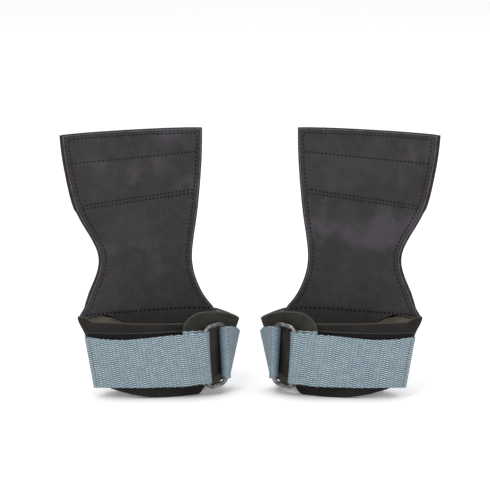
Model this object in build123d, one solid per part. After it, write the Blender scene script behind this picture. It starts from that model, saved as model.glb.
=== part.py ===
from build123d import *
import os
from math import asin, atan2, cos, degrees, radians, sin, sqrt

# A pair of leather hand grips. Each one is a padded wrist cuff that closes with a webbing strap and a
# wire ring, and a palm flap that hangs over the palm and wraps round the bar.
# A grip is drawn in its own frame: u across the wrist, w away from the strap side, z up, with u = w = 0
# in the middle of the cuff. The left grip is drawn, and the right one is its mirror image.

# Driving sizes, in millimetres and degrees
webbing_width = 38.0  # the strap is woven to this standard width
webbing_thick = 1.5
strap_bottom = 11.0
tab_bottom, tab_top = 9.0, 65.0
cuff_top = 59.0
lining_thick, padding_thick, shell_thick = 0.9, 2.6, 0.8
crease_radius = 1.5  # inside radius where the cuff turns back on itself
tip_gap = 4.0  # degrees left open on each side of the right crease, where the tab hinges
loop_lead = 24.0  # degrees by which a loop of webbing leads on to the layer over it
face_thick, insert_thick, backing_thick = 1.4, 1.6, 2.0
wire_radius = 1.7
ring_width, ring_height, ring_corner = 19.0, 47.4, 3.0  # between wire centres, and the bend of the wire
ring_middle = 31.2  # middle height of the ring
ring_left_low, ring_left_high = 25.9, 24.6  # where along the tab's arc the left wire is, at each edge of the webbing
grip_yaw = 16.0  # each grip is turned to face the other a little
grip_apart = 68.0  # from the middle of the pair to the middle of a cuff

# Plan of the cuff: three bulging arcs between two creases, which draw in towards the floor
far_bulge, near_bulge, tab_bulge = 14.5, 13.0, 19.0
near_middle, tab_middle = 4.0, 8.0  # where along u the two strap-side arcs are fullest
draft_bottom, draft_top = -2.0, 68.0  # the heights that the drafted walls are drawn between

# Offsets of each layer from the plan arcs
lining_in = crease_radius
padding_in = lining_in + lining_thick
shell_in = padding_in + padding_thick
shell_out = shell_in + shell_thick
panel_in, panel_thick = shell_out + 0.1, 1.0
hook_in, hook_thick = panel_in + panel_thick + 0.3, 0.9
strap_in = hook_in + hook_thick + 0.1
under_in = shell_out + 0.5  # the layer of webbing that lies on the tab
loop_radius = wire_radius + 0.4 + webbing_thick / 2  # webbing's middle where it turns round the wire
wire_in = under_in + webbing_thick / 2 + loop_radius + 0.9  # middle of the wire
over_mid = under_in + webbing_thick * 1.5 + 0.1  # middle of the layer that lies on the under layer

# The palm flap
flap_front = 10.6  # the flap's palm side, along w
flap_top = 202.6
heel_top, palm_bottom = 71.4, 74.6
fold_z = (heel_top + palm_bottom) / 2
fold_w = flap_front + (face_thick + backing_thick) / 2
bar_fold_u, bar_fold_z, bar_fold_tilt = -13.0, 146.5, 5.0  # the fold under the double seam
bar_fold_gap = 2.7  # from the fold to the leather on either side
bar_fold_w = flap_front + (face_thick + insert_thick + backing_thick) / 2
backing_margin, insert_margin = 0.8, -1.0
thumb_side = [(-75.5, flap_top), (-68.2, 157.0), (-56.4, 129.0), (-45.2, 102.0), (-53.7, 80.0), (-63.5, 62.0)]
finger_side = [(35.9, flap_top), (35.1, 171.0), (31.5, 132.7), (28.0, 101.0), (34.4, 77.6), (43.4, 62.0)]


def crease_left(z):
    return 42.5 + 0.22 * z


def crease_right(z):
    return 44.0 + 0.215 * z


def polar(centre, radius, angle):
    return (centre[0] + radius * cos(radians(angle)), centre[1] + radius * sin(radians(angle)))


def bulging_arc(middle, reach, bulge, side):
    """Centre and radius of the arc that is fullest at u = middle, where it bulges to +w or -w (side 1 or -1)."""
    radius = (reach**2 + bulge**2) / (2 * bulge)
    return (middle, side * (bulge - radius)), radius


def far_arc(z):
    left, right = crease_left(z), crease_right(z)
    return bulging_arc((right - left) / 2, (left + right) / 2, far_bulge, 1)


def near_arc(z):
    return bulging_arc(near_middle, crease_left(z) + near_middle, near_bulge, -1)


def tab_arc(z):
    return bulging_arc(tab_middle, crease_right(z) - tab_middle, tab_bulge, -1)


def towards(centre, u, w):
    """Angle in degrees, from 0 to 360, of the line from an arc's centre to a point."""
    return degrees(atan2(w - centre[1], u - centre[0])) % 360


def angle_at(arc, u):
    """Angle at which a strap-side arc reaches a place along u."""
    (middle, _), radius = arc
    return 270 + degrees(asin((u - middle) / radius))


def ribbon(path, thick, z):
    """Face of even thickness along arcs (centre, radius, from angle, to angle), joined by straight lines."""
    half = thick / 2
    sides = {1: [], -1: []}
    for centre, radius, start, end in path:
        turn = 1 if end > start else -1
        for side in (1, -1):
            r = radius + side * turn * half
            sides[side].append([polar(centre, r, a) for a in (start, (start + end) / 2, end)])
    chain = sides[1] + [arc[::-1] for arc in reversed(sides[-1])]
    edges = []
    for arc, following in zip(chain, chain[1:] + chain[:1]):
        edges.append(ThreePointArc(*arc))
        if (Vector(*arc[2]) - Vector(*following[0])).length > 1e-5:
            edges.append(Line(arc[2], following[0]))
    return Pos(0, 0, z) * make_face(Wire(edges))


def drafted(path_at, thick, bottom=draft_bottom, top=draft_top):
    """Solid between the same ribbon at two heights."""
    return loft([ribbon(path_at(z), thick, z) for z in (bottom, top)], ruled=True)


def upright(face, w_from, w_to):
    """A face drawn in u and z, made solid from w_from to w_to."""
    standing = Plane(origin=(0, w_from, 0), x_dir=(1, 0, 0), z_dir=(0, -1, 0)) * face
    return extrude(standing, amount=w_to - w_from, dir=(0, 1, 0))


def rectangle(u0, z0, u1, z1):
    return Pos((u0 + u1) / 2, (z0 + z1) / 2) * Rectangle(u1 - u0, z1 - z0)


def cuff_path(inside, thick, near_end=34.0):
    """Far wall, left crease and the strap-side wall that tucks under the tab."""
    mid = inside + thick / 2

    def path(z):
        left, right = (-crease_left(z), 0), (crease_right(z), 0)
        far, far_radius = far_arc(z)
        near, near_radius = near_arc(z)
        far_right, far_left = towards(far, *right), towards(far, *left)
        near_left = towards(near, *left)
        return [
            (right, mid, tip_gap, far_right),
            (far, far_radius + mid, far_right, far_left),
            (left, mid, far_left, near_left),
            (near, near_radius + mid, near_left, angle_at(near_arc(z), near_end)),
        ]

    return path


def tab_path(inside, thick, start=6.0):
    """Strap-side wall from its free end to the right crease."""
    mid = inside + thick / 2

    def path(z):
        right = (crease_right(z), 0)
        centre, radius = tab_arc(z)
        meets = towards(centre, *right)
        return [
            (centre, radius + mid, angle_at(tab_arc(z), start), meets),
            (right, mid, meets, 360 - tip_gap),
        ]

    return path


def cuff_outline():
    """Where the cuff's layers stay: a flat foot that curves up to the creases, and a rounded inner end."""
    left, foot_left, foot_right, right = -80.0, -6.0, 30.0, 80.0
    foot_radius = 190.0
    rise = foot_radius - sqrt(foot_radius**2 - (left - foot_left) ** 2)
    half = (left + foot_left) / 2
    half_rise = foot_radius - sqrt(foot_radius**2 - (half - foot_left) ** 2)
    foot = ThreePointArc((left, rise), (half, half_rise), (foot_left, 0))
    far = make_face(
        Wire(
            [
                foot,
                Line((foot_left, 0), (foot_right, 0)),
                ThreePointArc((foot_right, 0), (56, 4.5), (right, 16)),
                Line((right, 16), (right, 53)),
                Line((right, 53), (44, cuff_top)),
                Line((44, cuff_top), (left, cuff_top)),
                Line((left, cuff_top), (left, rise)),
            ]
        )
    )
    end = 29.0
    near_end = rectangle(-20, 0, end, cuff_top)
    near_end = fillet(near_end.vertices().sort_by(Axis.X)[-2:], 8.0)
    near = far & (rectangle(left, -1, -10, cuff_top) + near_end)
    return upright(far, 0, 60) + upright(near, -60, 0)


def tab_outline():
    corner_low, corner_high, shoulder = 8.0, 15.0, 60.0
    outline = Polygon(
        (12, tab_bottom),
        (80, tab_bottom + 1.5),
        (80, 50.0),
        (38, tab_top),
        (12, tab_top),
        align=None,
    )
    for place, radius in (((12, tab_bottom), corner_low), ((12, tab_top), corner_high), ((38, tab_top), shoulder)):
        outline = fillet(outline.vertices().sort_by_distance(Vector(*place))[0], radius)
    return upright(outline, -60, 20)


def cuff_layers():
    keep = cuff_outline()
    layers = {
        "wrist_lining": (lining_in, lining_thick),
        "wrist_padding": (padding_in, padding_thick),
        "wrist_shell": (shell_in, shell_thick),
    }
    return {name: drafted(cuff_path(*layer), layer[1]) & keep for name, layer in layers.items()}


def tab_layers():
    keep = tab_outline()
    layers = {
        "tab_lining": (lining_in, lining_thick),
        "tab_padding": (padding_in, padding_thick),
        "tab_shell": (shell_in, shell_thick),
    }
    return {name: drafted(tab_path(*layer), layer[1]) & keep for name, layer in layers.items()}


def loop_panel():
    """Soft loop fastener on the strap side, from just past the left crease."""
    panel = drafted(cuff_path(panel_in, panel_thick, near_end=20.0), panel_thick)
    outline = rectangle(-80, strap_bottom, 20, 52.5)
    outline = fillet(outline.vertices().sort_by(Axis.X)[-2:], 5.0)
    return panel & upright(outline, -60, 0.8)


def wire_place(z):
    """The two upright wires of the ring at a height: the left one, then the right one."""
    low, high = strap_bottom, strap_bottom + webbing_width
    ends = []
    for height, along in ((low, ring_left_low), (high, ring_left_high)):
        centre, radius = tab_arc(height)
        ends.append(Vector(*polar(centre, radius + wire_in, angle_at((centre, radius), along))))
    middle, lean = (ends[0] + ends[1]) / 2, ends[1] - ends[0]
    centre, radius = tab_arc((low + high) / 2)
    turn = 2 * degrees(asin(ring_width / 2 / (radius + wire_in)))
    step = Vector(*polar(centre, radius + wire_in, towards(centre, middle.X, middle.Y) + turn)) - middle
    left = middle + lean * ((z - low) / (high - low) - 0.5)
    return (left.X, left.Y), (left.X + step.X, left.Y + step.Y)


def buckle_ring():
    """Wire bent to a rounded rectangle, standing just proud of the tab."""
    (lu, lw), (ru, rw) = wire_place(ring_middle)
    (bu, bw), _ = wire_place(ring_middle - 1)
    across = Vector(ru - lu, rw - lw, 0)
    along = Vector(lu - bu, lw - bw, 1).normalized()
    square = across - along * across.dot(along)
    centre = ((lu + ru) / 2, (lw + rw) / 2, ring_middle)
    plane = Plane(origin=centre, x_dir=square.normalized(), z_dir=across.cross(along))
    path = plane * RectangleRounded(square.length, ring_height, ring_corner).wire()
    start = path.edges()[0]
    section = Plane(origin=start @ 0.5, z_dir=start % 0.5) * Circle(wire_radius)
    return sweep(section, path=path)


def strap_path(z):
    """Free end on the loop panel, over the tab, round the left wire and back under."""
    near, near_radius = near_arc(z)
    tab, tab_radius = tab_arc(z)
    wire, _ = wire_place(z)
    at_wire = towards(tab, *wire)
    free_end = towards(near, -crease_left(z) - 8.0, -6.2)
    return [
        (near, near_radius + strap_in + webbing_thick / 2, free_end, angle_at((near, near_radius), -8.0)),
        (tab, tab_radius + over_mid, angle_at((tab, tab_radius), 10.5), at_wire - 9.0),
        (wire, loop_radius, at_wire - loop_lead, at_wire + 180),
        (tab, tab_radius + under_in + webbing_thick / 2, at_wire - 6.0, angle_at((tab, tab_radius), 13.0)),
    ]


def keeper_path(z):
    """From the right crease under the ring's right wire, round it and back over to the crease."""
    tab, tab_radius = tab_arc(z)
    right = (crease_right(z), 0)
    _, wire = wire_place(z)
    under_mid = under_in + webbing_thick / 2
    at_wire = towards(tab, *wire)
    meets = towards(tab, *right)
    return [
        (right, under_mid, 360 - tip_gap, meets),
        (tab, tab_radius + under_mid, meets, at_wire + 6.0),
        (wire, loop_radius, at_wire - 180, at_wire + loop_lead),
        (tab, tab_radius + over_mid, at_wire + 9.0, meets),
        (right, over_mid, meets, meets + 30),
    ]


def anchor_path(z):
    """Webbing sewn along the far wall, from the right crease."""
    right = (crease_right(z), 0)
    far, far_radius = far_arc(z)
    mid = under_in + webbing_thick / 2
    far_right = towards(far, *right)
    return [
        (right, mid, tip_gap, far_right),
        (far, far_radius + mid, far_right, towards(far, -22.0, far_bulge)),
    ]


def tail_path(z):
    """Tail of the flap's backing, down the outside of the far wall."""
    far, far_radius = far_arc(z)
    mid = shell_out + 0.1 + 0.6
    return [(far, far_radius + mid, towards(far, 44.0, 6.0), towards(far, -54.0, 2.0))]


def hook_path(z):
    near, near_radius = near_arc(z)
    start = towards(near, -crease_left(z) + 1.0, -7.0)
    return [(near, near_radius + hook_in + hook_thick / 2, start, angle_at((near, near_radius), -10.0))]


def strap_pieces():
    low, high = strap_bottom, strap_bottom + webbing_width
    return {
        "wrist_strap": drafted(strap_path, webbing_thick, low, high),
        "hook_patch": drafted(hook_path, hook_thick, low + 2, high - 2),
        "ring_keeper": drafted(keeper_path, webbing_thick, low, high),
        "anchor_strap": drafted(anchor_path, webbing_thick, low, high),
        "backing_tail": drafted(tail_path, 1.2, high + 1, cuff_top),
    }


def flap_outline(margin):
    """Hourglass outline of the flap, wide at the bar end, narrow over the palm, wide at the heel."""
    thumb = [(u - margin, z) for u, z in thumb_side]
    finger = [(u + margin, z) for u, z in finger_side]
    sides = [Spline(*thumb), Line(thumb[-1], finger[-1]), Spline(*finger[::-1])]
    return make_face(Wire([*sides, Line(finger[0], thumb[0])]))


def flap_layers():
    """The flap's leathers, cut at the two folds."""
    tilted = Pos(bar_fold_u, bar_fold_z) * Rot(0, 0, bar_fold_tilt)
    above = tilted * rectangle(-90, bar_fold_gap, 90, 90)
    below = (tilted * rectangle(-90, -120, 90, -bar_fold_gap)) & rectangle(-100, palm_bottom, 100, 200)
    face_back = flap_front + face_thick
    insert_back = face_back + insert_thick
    face, insert, backing = (flap_outline(margin) for margin in (0.0, insert_margin, backing_margin))
    return {
        "palm_face": upright(face & below, flap_front, face_back),
        "palm_backing": upright(backing & below, face_back, face_back + backing_thick),
        "bar_face": upright(face & above, flap_front, face_back),
        "bar_insert": upright(insert & above, face_back, insert_back),
        "bar_backing": upright(backing & above, insert_back, insert_back + backing_thick),
    }


def heel_layer(offset_in, thick, w_in):
    """Leather that starts on the curved top of the far wall and is flat where the flap folds."""
    centre, radius = far_arc(cuff_top)
    curve = [(centre, radius + offset_in + thick / 2, towards(centre, 43.0, 6.0), towards(centre, -57.0, 1.0))]
    low = ribbon(curve, thick, cuff_top)
    u_left, u_right = -58.0, 37.5
    high = Pos((u_left + u_right) / 2, w_in + thick / 2, heel_top) * Rectangle(u_right - u_left, thick)
    return loft([low, high.face()], ruled=True)


def heel_layers():
    face_out = lining_in + face_thick
    return {
        "heel_face": heel_layer(lining_in, face_thick, flap_front),
        "heel_backing": heel_layer(face_out, backing_thick, flap_front + face_thick),
    }


def grip_pieces():
    return {
        **cuff_layers(),
        "loop_panel": loop_panel(),
        **heel_layers(),
        **tab_layers(),
        "buckle_ring": buckle_ring(),
        **strap_pieces(),
        **flap_layers(),
    }


def place_in_pair(piece, forward=0.0):
    return Pos(-grip_apart, forward, 0) * Rot(0, 0, grip_yaw) * piece


def pair():
    """Both grips, with the pair's box centred over the origin."""
    left = {name: place_in_pair(piece) for name, piece in grip_pieces().items()}
    boxes = [piece.bounding_box() for piece in left.values()]
    forward = -(min(b.min.Y for b in boxes) + max(b.max.Y for b in boxes)) / 2
    nodes = {}
    for name, piece in left.items():
        moved = Pos(0, forward, 0) * piece
        nodes["left_" + name] = moved
        nodes["right_" + name] = mirror(moved, about=Plane.YZ)
    return nodes, forward


os.makedirs("parts", exist_ok=True)
nodes, pair_forward = pair()
for name, solid in nodes.items():
    export_step(solid, f"parts/{name}.step")
print("pair_forward", round(pair_forward, 3))
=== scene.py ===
"""A mirrored pair of leather hand grips: hourglass palm flaps on padded wrist cuffs, each closed by a webbing
strap and a wire ring.

Shapes are worked out in a grip's own frame, in millimetres: u across the wrist, w away from the strap side,
z up. into_frame() turns them into metres in the frame of the CAD model. side is 1 for the left grip and -1
for the right one, which is its mirror image."""

import math

import bmesh
import bpy
import numpy as np
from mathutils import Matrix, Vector


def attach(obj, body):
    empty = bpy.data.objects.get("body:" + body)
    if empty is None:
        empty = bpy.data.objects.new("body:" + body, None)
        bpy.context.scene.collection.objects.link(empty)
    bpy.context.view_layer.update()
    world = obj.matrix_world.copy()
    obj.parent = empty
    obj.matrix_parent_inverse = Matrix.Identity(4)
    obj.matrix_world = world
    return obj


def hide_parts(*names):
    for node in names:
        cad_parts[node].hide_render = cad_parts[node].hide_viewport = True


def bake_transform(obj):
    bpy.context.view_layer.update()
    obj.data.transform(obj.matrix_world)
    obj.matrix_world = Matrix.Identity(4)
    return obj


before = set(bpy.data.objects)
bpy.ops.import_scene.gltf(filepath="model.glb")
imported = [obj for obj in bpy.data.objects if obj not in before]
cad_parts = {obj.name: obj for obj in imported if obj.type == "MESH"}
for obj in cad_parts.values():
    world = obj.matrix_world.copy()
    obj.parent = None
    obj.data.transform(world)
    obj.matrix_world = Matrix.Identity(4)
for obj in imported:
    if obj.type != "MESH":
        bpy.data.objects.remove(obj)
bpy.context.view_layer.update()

SIDES = {"left": 1, "right": -1}
GRIP_YAW = math.radians(16)
GRIP_APART = 68.0
GRIP_FORWARD = 0.08

# Plan arcs of the cuff: place along u where each is fullest, and how far it bulges there
FAR_BULGE = 14.5
NEAR_MIDDLE, NEAR_BULGE = 4.0, 13.0
TAB_MIDDLE, TAB_BULGE = 8.0, 19.0
FOOT_RADIUS = 125.0

# Offsets of the layers from the cuff's plan arcs
LINING_IN, LINING_OUT = 1.5, 2.5
BAND_IN, BAND_OUT = 2.3, 5.8
PANEL_OUT = 6.9
UNDER_IN = 6.3
WEB_THICK = 1.5
WIRE_RADIUS = 1.7
LOOP_RADIUS = WIRE_RADIUS + 0.4 + WEB_THICK / 2
WIRE_IN = UNDER_IN + WEB_THICK / 2 + LOOP_RADIUS + 0.9
OVER_MID = UNDER_IN + WEB_THICK * 1.5 + 0.1
STRAP_MID = 9.0
LOOP_LEAD = math.radians(24)
COLUMN, ROW = 2.8, 1.56  # the weave's floats: length along the strip, and pitch across it
DRIFT, DRIFT_RUN = 0.25, 11.0  # how far its rows wander up and down, and over what length
WEB_LOW, WEB_HIGH = 11.0, 49.0
RING_LEFT_LOW, RING_LEFT_HIGH = 25.9, 24.6
RING_WIDTH, RING_HEIGHT, RING_CORNER, RING_MIDDLE = 19.0, 47.4, 5.5, 31.6

FACE_THICK, INSERT_THICK, BACKING_THICK = 1.4, 1.6, 2.0
WAIST_Z = 110.0
SEAM_IN = (5.1, 4.2)  # how far the row of stitches runs inside the thumb and finger side
TOP_SEAM_IN = 4.2  # and how far below the top edge

# Sides of the flap: height, place along u
THUMB_SIDE = [
    (50.0, -55.0), (57.0, -60.5), (61.8, -64.3), (67.9, -60.4), (80.1, -52.9), (89.8, -48.0), (98.4, -45.2),
    (105.8, -45.0), (114.9, -47.9), (129.1, -55.9), (144.7, -63.9), (156.9, -67.5), (168.9, -70.0), (188.4, -73.2),
    (203.4, -74.5),
]
FINGER_SIDE = [
    (50.0, 46.5), (62.2, 43.4), (68.8, 38.6), (77.6, 33.7), (89.5, 29.5), (100.0, 28.0), (111.9, 28.6),
    (132.7, 31.5), (153.5, 33.7), (171.3, 35.1), (186.1, 35.8), (203.4, 36.0),
]

# Rows of stitches: place along u, height
SINGLE_ROW = [(-80.0, 179.6), (-67.8, 179.7), (-16.2, 180.8), (33.0, 184.0), (45.0, 185.2)]
DOUBLE_ROW = [(-70.0, 145.0), (-58.7, 145.6), (-12.2, 148.6), (32.3, 153.5), (45.0, 155.2)]
DOUBLE_APART = 1.35  # half the distance between the double row's two lines
BASE_SEAM = [(-64.0, 64.3), (-50.0, 63.1), (-36.0, 62.3), (-23.0, 61.7), (14.0, 61.8), (44.0, 62.0)]


# ---- numbers and curves


def smooth(x):
    """0 up to x = 0, 1 from x = 1, and an even S between."""
    x = np.clip(x, 0.0, 1.0)
    return x * x * (3 - 2 * x)


def curve(knots, x):
    """Natural cubic spline through pairs (x, y), straight beyond its ends."""
    kx, ky = np.array(knots, float).T
    n, h = len(kx), np.diff(kx)
    system, right = np.eye(n), np.zeros(n)
    rows = np.arange(1, n - 1)
    system[rows, rows - 1], system[rows, rows + 1] = h[:-1], h[1:]
    system[rows, rows] = 2 * (h[:-1] + h[1:])
    right[1:-1] = 6 * np.diff(np.diff(ky) / h)
    bend = np.linalg.solve(system, right)
    x = np.asarray(x, float)
    inside = np.clip(x, kx[0], kx[-1])
    k = np.clip(np.searchsorted(kx, inside) - 1, 0, n - 2)
    a, b, width = kx[k + 1] - inside, inside - kx[k], h[k]
    y = (bend[k] * a**3 + bend[k + 1] * b**3) / (6 * width)
    y += (ky[k] / width - bend[k] * width / 6) * a + (ky[k + 1] / width - bend[k + 1] * width / 6) * b
    first = (ky[1] - ky[0]) / h[0] - h[0] * bend[1] / 6
    last = (ky[-1] - ky[-2]) / h[-1] + h[-1] * bend[-2] / 6
    return y + np.minimum(x - kx[0], 0) * first + np.maximum(x - kx[-1], 0) * last


def spaced(length, step, rim):
    """Places from 0 to length, even in the middle and closing up over the rounded rim at each end."""
    edge = rim * (1 - np.cos(np.linspace(0, np.pi / 2, 5)))
    count = max(2, int(round((length - 2 * rim) / step)) + 1)
    return np.concatenate([edge[:-1], np.linspace(rim, length - rim, count), length - edge[::-1][1:]])


def rounded(distance, rim):
    """Share of the full thickness at a distance from an edge that rounds off over rim: a quarter circle."""
    return np.sqrt(1 - (1 - np.clip(distance / rim, 0, 1)) ** 2)


def into_frame(points, side):
    """From a grip's frame in mm to the row frame in metres, mirrored for the right grip."""
    u, w, z = np.moveaxis(np.asarray(points, float), -1, 0)
    x = u * math.cos(GRIP_YAW) - w * math.sin(GRIP_YAW) - GRIP_APART
    y = u * math.sin(GRIP_YAW) + w * math.cos(GRIP_YAW) + GRIP_FORWARD
    return np.stack([side * x, y, z], -1) * 1e-3


# ---- meshes


def add_object(name, data):
    made = bpy.data.objects.new(name, data)
    bpy.context.scene.collection.objects.link(made)
    return made


def make_piece(name, vertices, faces, material, cloth=None, layers=None):
    """A closed mesh in metres, with its doubles merged and its faces turned outwards."""
    mesh = bpy.data.meshes.new(name)
    mesh.from_pydata(vertices.tolist(), [], faces.tolist())
    if cloth is not None:
        corner = np.empty(len(mesh.loops), np.int32)
        mesh.loops.foreach_get("vertex_index", corner)
        mesh.uv_layers.new(name="cloth").data.foreach_set("uv", cloth[corner].astype(np.float32).ravel())
    for layer, values in (layers or {}).items():
        mesh.attributes.new(layer, "FLOAT", "POINT").data.foreach_set("value", values.astype(np.float32))
    work = bmesh.new()
    work.from_mesh(mesh)
    bmesh.ops.remove_doubles(work, verts=work.verts, dist=4e-6)
    bmesh.ops.dissolve_degenerate(work, edges=work.edges, dist=1e-6)
    bmesh.ops.recalc_face_normals(work, faces=work.faces)
    work.to_mesh(mesh)
    work.free()
    mesh.polygons.foreach_set("use_smooth", np.ones(len(mesh.polygons), bool))
    mesh.set_sharp_from_angle(angle=math.radians(40.0))
    mesh.materials.append(material)
    return add_object(name, mesh)


def grid_faces(rows, columns, start=0):
    """Four-cornered faces of a grid of points numbered row by row."""
    at = start + np.arange(rows * columns).reshape(rows, columns)
    return np.stack([at[:-1, :-1], at[1:, :-1], at[1:, 1:], at[:-1, 1:]], -1).reshape(-1, 4)


def two_sided(name, side, front, back, material, cloth=None, layers=None):
    """Closed solid between two grids of the same shape: both grids, and a wall along each of the four edges."""
    rows, columns = front.shape[:2]
    count = rows * columns
    vertices = into_frame(np.concatenate([front.reshape(-1, 3), back.reshape(-1, 3)]), side)
    at = np.arange(count).reshape(rows, columns)
    loop = np.concatenate([at[0, :-1], at[:-1, -1], at[-1, :0:-1], at[:0:-1, 0]])
    after = np.roll(loop, -1)
    walls = np.stack([loop, after, after + count, loop + count], -1)
    back_faces = grid_faces(rows, columns, count)[:, ::-1]
    faces = np.concatenate([grid_faces(rows, columns), back_faces, walls])
    doubled = {k: np.tile(v.reshape(-1), 2) for k, v in (layers or {}).items()}
    cloth = None if cloth is None else np.tile(cloth.reshape(-1, 2), (2, 1))
    return make_piece(name, vertices, faces, material, cloth, doubled)


def stitch_row(points, normals, length, radius, lift=0.25, twist=0.0):
    """Vertices and faces of threads, one at each point, in mm.

    Each is a six-sided capsule along the row, thick in the middle and diving in at both ends: its rings are
    circles of radius r (1 - x^4)^0.5, raised by lift less a dip of x^2."""
    run = np.gradient(points, axis=0)
    run /= np.linalg.norm(run, axis=-1, keepdims=True)
    across = np.cross(normals, run)
    across /= np.linalg.norm(across, axis=-1, keepdims=True)
    run = run * math.cos(twist) + across * math.sin(twist)
    across = np.cross(normals, run)
    x = np.array([-1.0, -0.86, -0.45, 0.0, 0.45, 0.86, 1.0])
    size = radius * np.sqrt(1 - x**4)
    rise = lift - (lift + radius * 1.1) * x**2
    turn = np.linspace(0, 2 * np.pi, 6, endpoint=False)
    centre = points[:, None] + run[:, None] * (x * length / 2)[None, :, None]
    centre = centre + normals[:, None] * rise[None, :, None]
    ring = across[:, None, None] * np.cos(turn)[None, None, :, None]
    ring = ring + normals[:, None, None] * np.sin(turn)[None, None, :, None]
    vertices = centre[:, :, None] + ring * size[None, :, None, None]
    rings, sides = len(x), len(turn)
    at = np.arange(rings * sides).reshape(rings, sides)
    onward = np.roll(at, -1, axis=1)
    one = np.stack([at[:-1], onward[:-1], onward[1:], at[1:]], -1).reshape(-1, 4)
    faces = one[None] + (np.arange(len(points)) * rings * sides)[:, None, None]
    return vertices.reshape(-1, 3), faces.reshape(-1, 4)


def thread_piece(name, side, rows, material):
    """All the given rows of threads as one piece."""
    starts = np.cumsum([0] + [len(vertices) for vertices, _ in rows])
    faces = np.concatenate([faces + start for (_, faces), start in zip(rows, starts)])
    return make_piece(name, into_frame(np.concatenate([row[0] for row in rows]), side), faces, material)


def run_along(points):
    """Distance of each point from the first, measured along the line."""
    return np.concatenate([[0], np.cumsum(np.linalg.norm(np.diff(points, axis=0), axis=1))])


def along(points, pitch, ends=0.5):
    """Points at an even pitch along a dense line of points, leaving a share of a pitch free at each end."""
    run = run_along(points)
    count = max(2, int(round(run[-1] / pitch)))
    at = np.linspace(ends * pitch, run[-1] - ends * pitch, count)
    return np.stack([np.interp(at, run, points[:, k]) for k in range(points.shape[1])], -1)


# ---- the cuff's plan


def bulging(middle, reach, bulge, way):
    """Centre u, centre w and radius of the arc that is fullest at u = middle and meets w = 0 at reach from it."""
    radius = (reach**2 + bulge**2) / (2 * bulge)
    return middle, way * (bulge - radius), radius


def plan_arcs(z):
    """Places of the left and right crease, and the far, near and tab arcs through them, at a height."""
    left = 42.5 + 0.22 * z + 3.2 * smooth((z - 47) / 15)
    right = 45.0 + 0.0038 * z**2
    far = bulging((right - left) / 2, (left + right) / 2, FAR_BULGE, 1)
    near = bulging(NEAR_MIDDLE + 0 * z, left + NEAR_MIDDLE, NEAR_BULGE, -1)
    tab = bulging(TAB_MIDDLE + 0 * z, right - TAB_MIDDLE, TAB_BULGE, -1)
    return left, right, far, near, tab


def turn_to(arc, u, w):
    """Angle of the line from an arc's centre to a point, from 0 to a full turn."""
    return np.arctan2(w - arc[1], u - arc[0]) % (2 * np.pi)


def turn_at(arc, u):
    """Angle at which a strap-side arc is at u."""
    return 1.5 * np.pi + np.arcsin((u - arc[0]) / arc[2])


def walk(t, segments, lengths):
    """Points at t from 0 to 1 along arcs (centre u, centre w, radius, from angle, to angle), one after another."""
    stops = np.concatenate([[0], np.cumsum(lengths)]) / sum(lengths)
    u, w = np.zeros(np.shape(t)), np.zeros(np.shape(t))
    for k, (cu, cw, radius, start, end) in enumerate(segments):
        share = np.clip((t - stops[k]) / (stops[k + 1] - stops[k]), 0, 1)
        angle = start + (end - start) * share
        here = (t >= stops[k]) if k else (t >= -1)
        u = np.where(here, cu + radius * np.cos(angle), u)
        w = np.where(here, cw + radius * np.sin(angle), w)
    return u, w


FAR_CUT = 45.0  # where the band of the cuff meets the band of the tab, on the far wall
CUFF_LENGTHS = (104.0, 8.5, 90.0)
TAB_LENGTHS = (48.0, 9.0, 11.0)


def cuff_wall(t, z, offset):
    """Far wall from near the right crease, round the left crease, and the wall that tucks under the tab."""
    left, _, far, near, _ = plan_arcs(z)
    far_start = np.arccos((FAR_CUT - far[0]) / far[2])
    far_end, near_start = turn_to(far, -left, 0), turn_to(near, -left, 0)
    segments = [
        (far[0], far[1], far[2] + offset, far_start, far_end),
        (-left, 0, offset, far_end, near_start),
        (near[0], near[1], near[2] + offset, near_start, turn_at(near, 29.0)),
    ]
    return walk(t, segments, CUFF_LENGTHS)


def wall_part(first, share):
    """The stretch of the cuff's wall that starts at t = first and takes up a share of it."""
    return lambda t, z, offset: cuff_wall(first + share * t, z, offset)


def tab_wall(t, z, offset):
    """The tab from its free end, round the right crease, to where the far wall's band starts."""
    _, right, far, _, tab = plan_arcs(z)
    meets, leaves = turn_to(tab, right, 0), turn_to(far, right, 0)
    segments = [
        (tab[0], tab[1], tab[2] + offset, turn_at(tab, 11.3), meets),
        (right, 0, offset, meets - 2 * np.pi, leaves),
        (far[0], far[1], far[2] + offset, leaves, np.arccos((FAR_CUT - far[0]) / far[2])),
    ]
    return walk(t, segments, TAB_LENGTHS)


def foot(u):
    """Height of the cuff's lower edge: flat in the middle, and rising in an arc to each crease."""
    thumb = np.clip(-4.0 - u, 0, 100)
    return FOOT_RADIUS - np.sqrt(FOOT_RADIUS**2 - thumb**2) + np.clip(u - 30.0, 0, None) ** 2 / 150.0


def corner(distance, radius):
    """How far a rounded corner draws in at a distance from the end."""
    return radius - np.sqrt(radius**2 - (radius - np.clip(distance, 0, radius)) ** 2)


def cuff_edges(t):
    """Lower and upper edge of the cuff's wall, raised round the thumb side's crease, its inner end rounded."""
    u, _ = cuff_wall(t, 30.0, 4.0)
    draw_in = corner((1 - t) * sum(CUFF_LENGTHS), 8.0)
    far_high = 59.2 + 1.8 * smooth((u - 20.0) / 22.0)
    near_high = 60.0 - 0.054 * np.clip(u + 40.0, 0, None)
    heel = 3.8 * smooth((t - 0.39) / 0.07) * smooth((0.59 - t) / 0.035)
    return foot(u) + draw_in, np.where(t < 0.53, far_high, near_high) + heel - draw_in


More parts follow.
